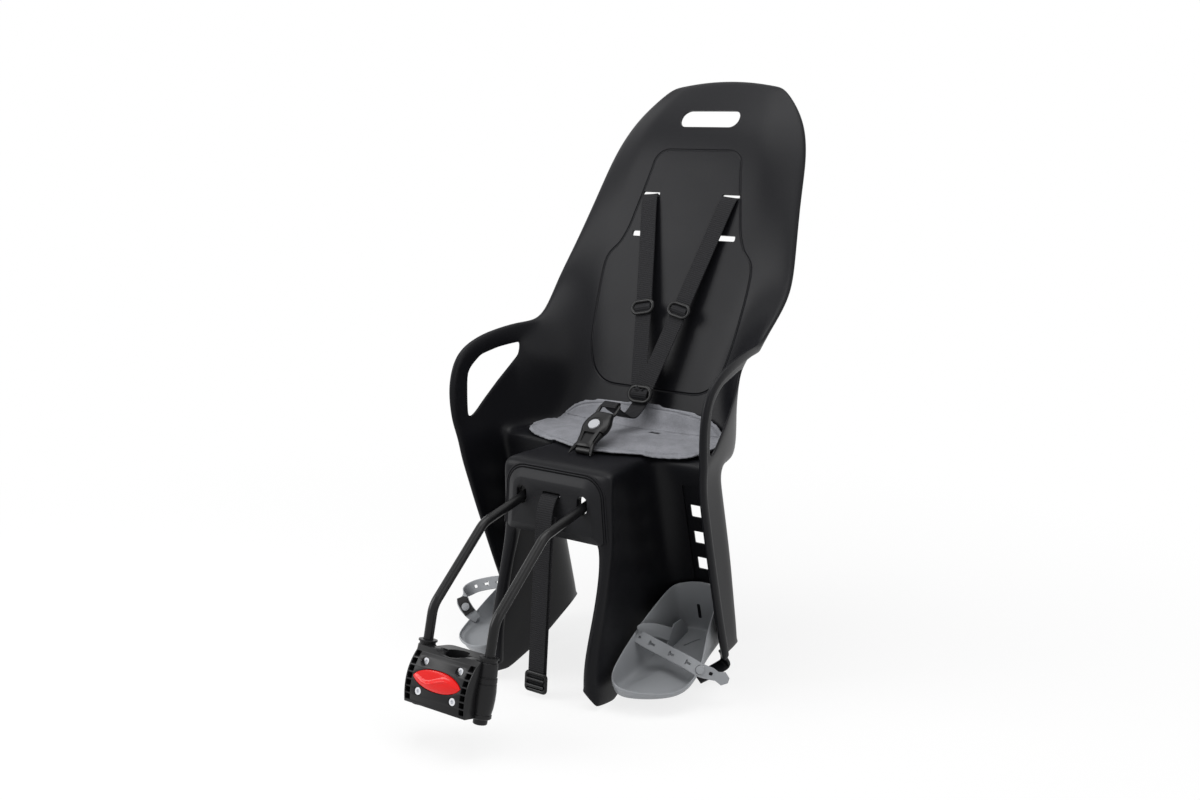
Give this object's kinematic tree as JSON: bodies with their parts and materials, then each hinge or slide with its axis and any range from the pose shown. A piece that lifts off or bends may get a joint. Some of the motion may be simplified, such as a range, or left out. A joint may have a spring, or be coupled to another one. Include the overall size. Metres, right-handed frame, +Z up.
{
  "type": "child bike seat",
  "caption": "Rear child bike seat: moulded bucket with arm loops, leg guards, sliding footrests, harness and pad, on a bent rod that lifts out of a seat tube clamp.",
  "frame": {"origin": "on the seat tube's axis, at the middle of the clamp block", "axes": "+Z up, the child faces -Y, +X is the child's left; the seat tube leans back 15 degrees about X"},
  "size_m": [0.4054, 0.6548, 0.7592],
  "materials": {
    "shell_plastic": "fine-grained satin",
    "plate_plastic": "matt charcoal",
    "block_plastic": "satin",
    "powder_coat": "satin powder coat",
    "zinc": "zinc plated",
    "button_red": "gloss",
    "webbing": "woven webbing",
    "buckle_plastic": "satin",
    "button_pale": "satin",
    "pad_felt": "brushed felt",
    "footrest_grey": "satin",
    "band_grey": "matt, flexible"
  },
  "bodies": {
    "clamp": {"clamp_body": "block_plastic", "clamp_jaw": "block_plastic", "clamp_screws": "zinc", "clamp_nuts": "zinc", "latch_plate": "zinc", "release_spring": "zinc"},
    "button": {"release_button": "button_red"},
    "seat": {"shell": "shell_plastic", "mounting_plate": "plate_plastic", "carrier_bow": "powder_coat", "bow_clamp": "plate_plastic", "bow_screws": "zinc", "seat_pad": "pad_felt", "safety_strap": "webbing", "safety_strap_slide": "buckle_plastic", "right_shoulder_strap": "webbing", "left_shoulder_strap": "webbing", "right_strap_adjuster": "buckle_plastic", "left_strap_adjuster": "buckle_plastic", "right_strap_stop": "zinc", "left_strap_stop": "zinc", "harness_joiner": "buckle_plastic", "buckle_body": "buckle_plastic", "buckle_tongue": "buckle_plastic", "tongue_strap": "webbing", "crotch_anchor": "buckle_plastic"},
    "buckle_press_button": {"buckle_button": "button_pale"},
    "left_rest": {"left_footrest": "footrest_grey", "left_foot_strap": "band_grey"},
    "right_rest": {"right_footrest": "footrest_grey", "right_foot_strap": "band_grey"}
  },
  "joints": [
    {"name": "seat_lift", "type": "slide", "parent": "clamp", "child": "seat", "axis": [0, 0.2588, 0.9659], "range_m": [0, 0.09]},
    {"name": "release_press", "type": "slide", "parent": "clamp", "child": "button", "axis": [0, 0.9659, -0.2588], "range_m": [0, 0.004], "stiffness_N_per_m": 800, "springref_m": -0.002, "deforming": ["release_spring"]},
    {"name": "buckle_press", "type": "slide", "parent": "seat", "child": "buckle_press_button", "axis": [0, 0.5736, -0.8192], "range_m": [0, 0.0025], "stiffness_N_per_m": 600, "springref_m": -0.0015},
    {"name": "left_footrest_height", "type": "slide", "parent": "seat", "child": "left_rest", "axis": [0, -0.2538, 0.9673], "range_m": [0, 0.1]},
    {"name": "right_footrest_height", "type": "slide", "parent": "seat", "child": "right_rest", "axis": [0, -0.2538, 0.9673], "range_m": [0, 0.1]}
  ]
}
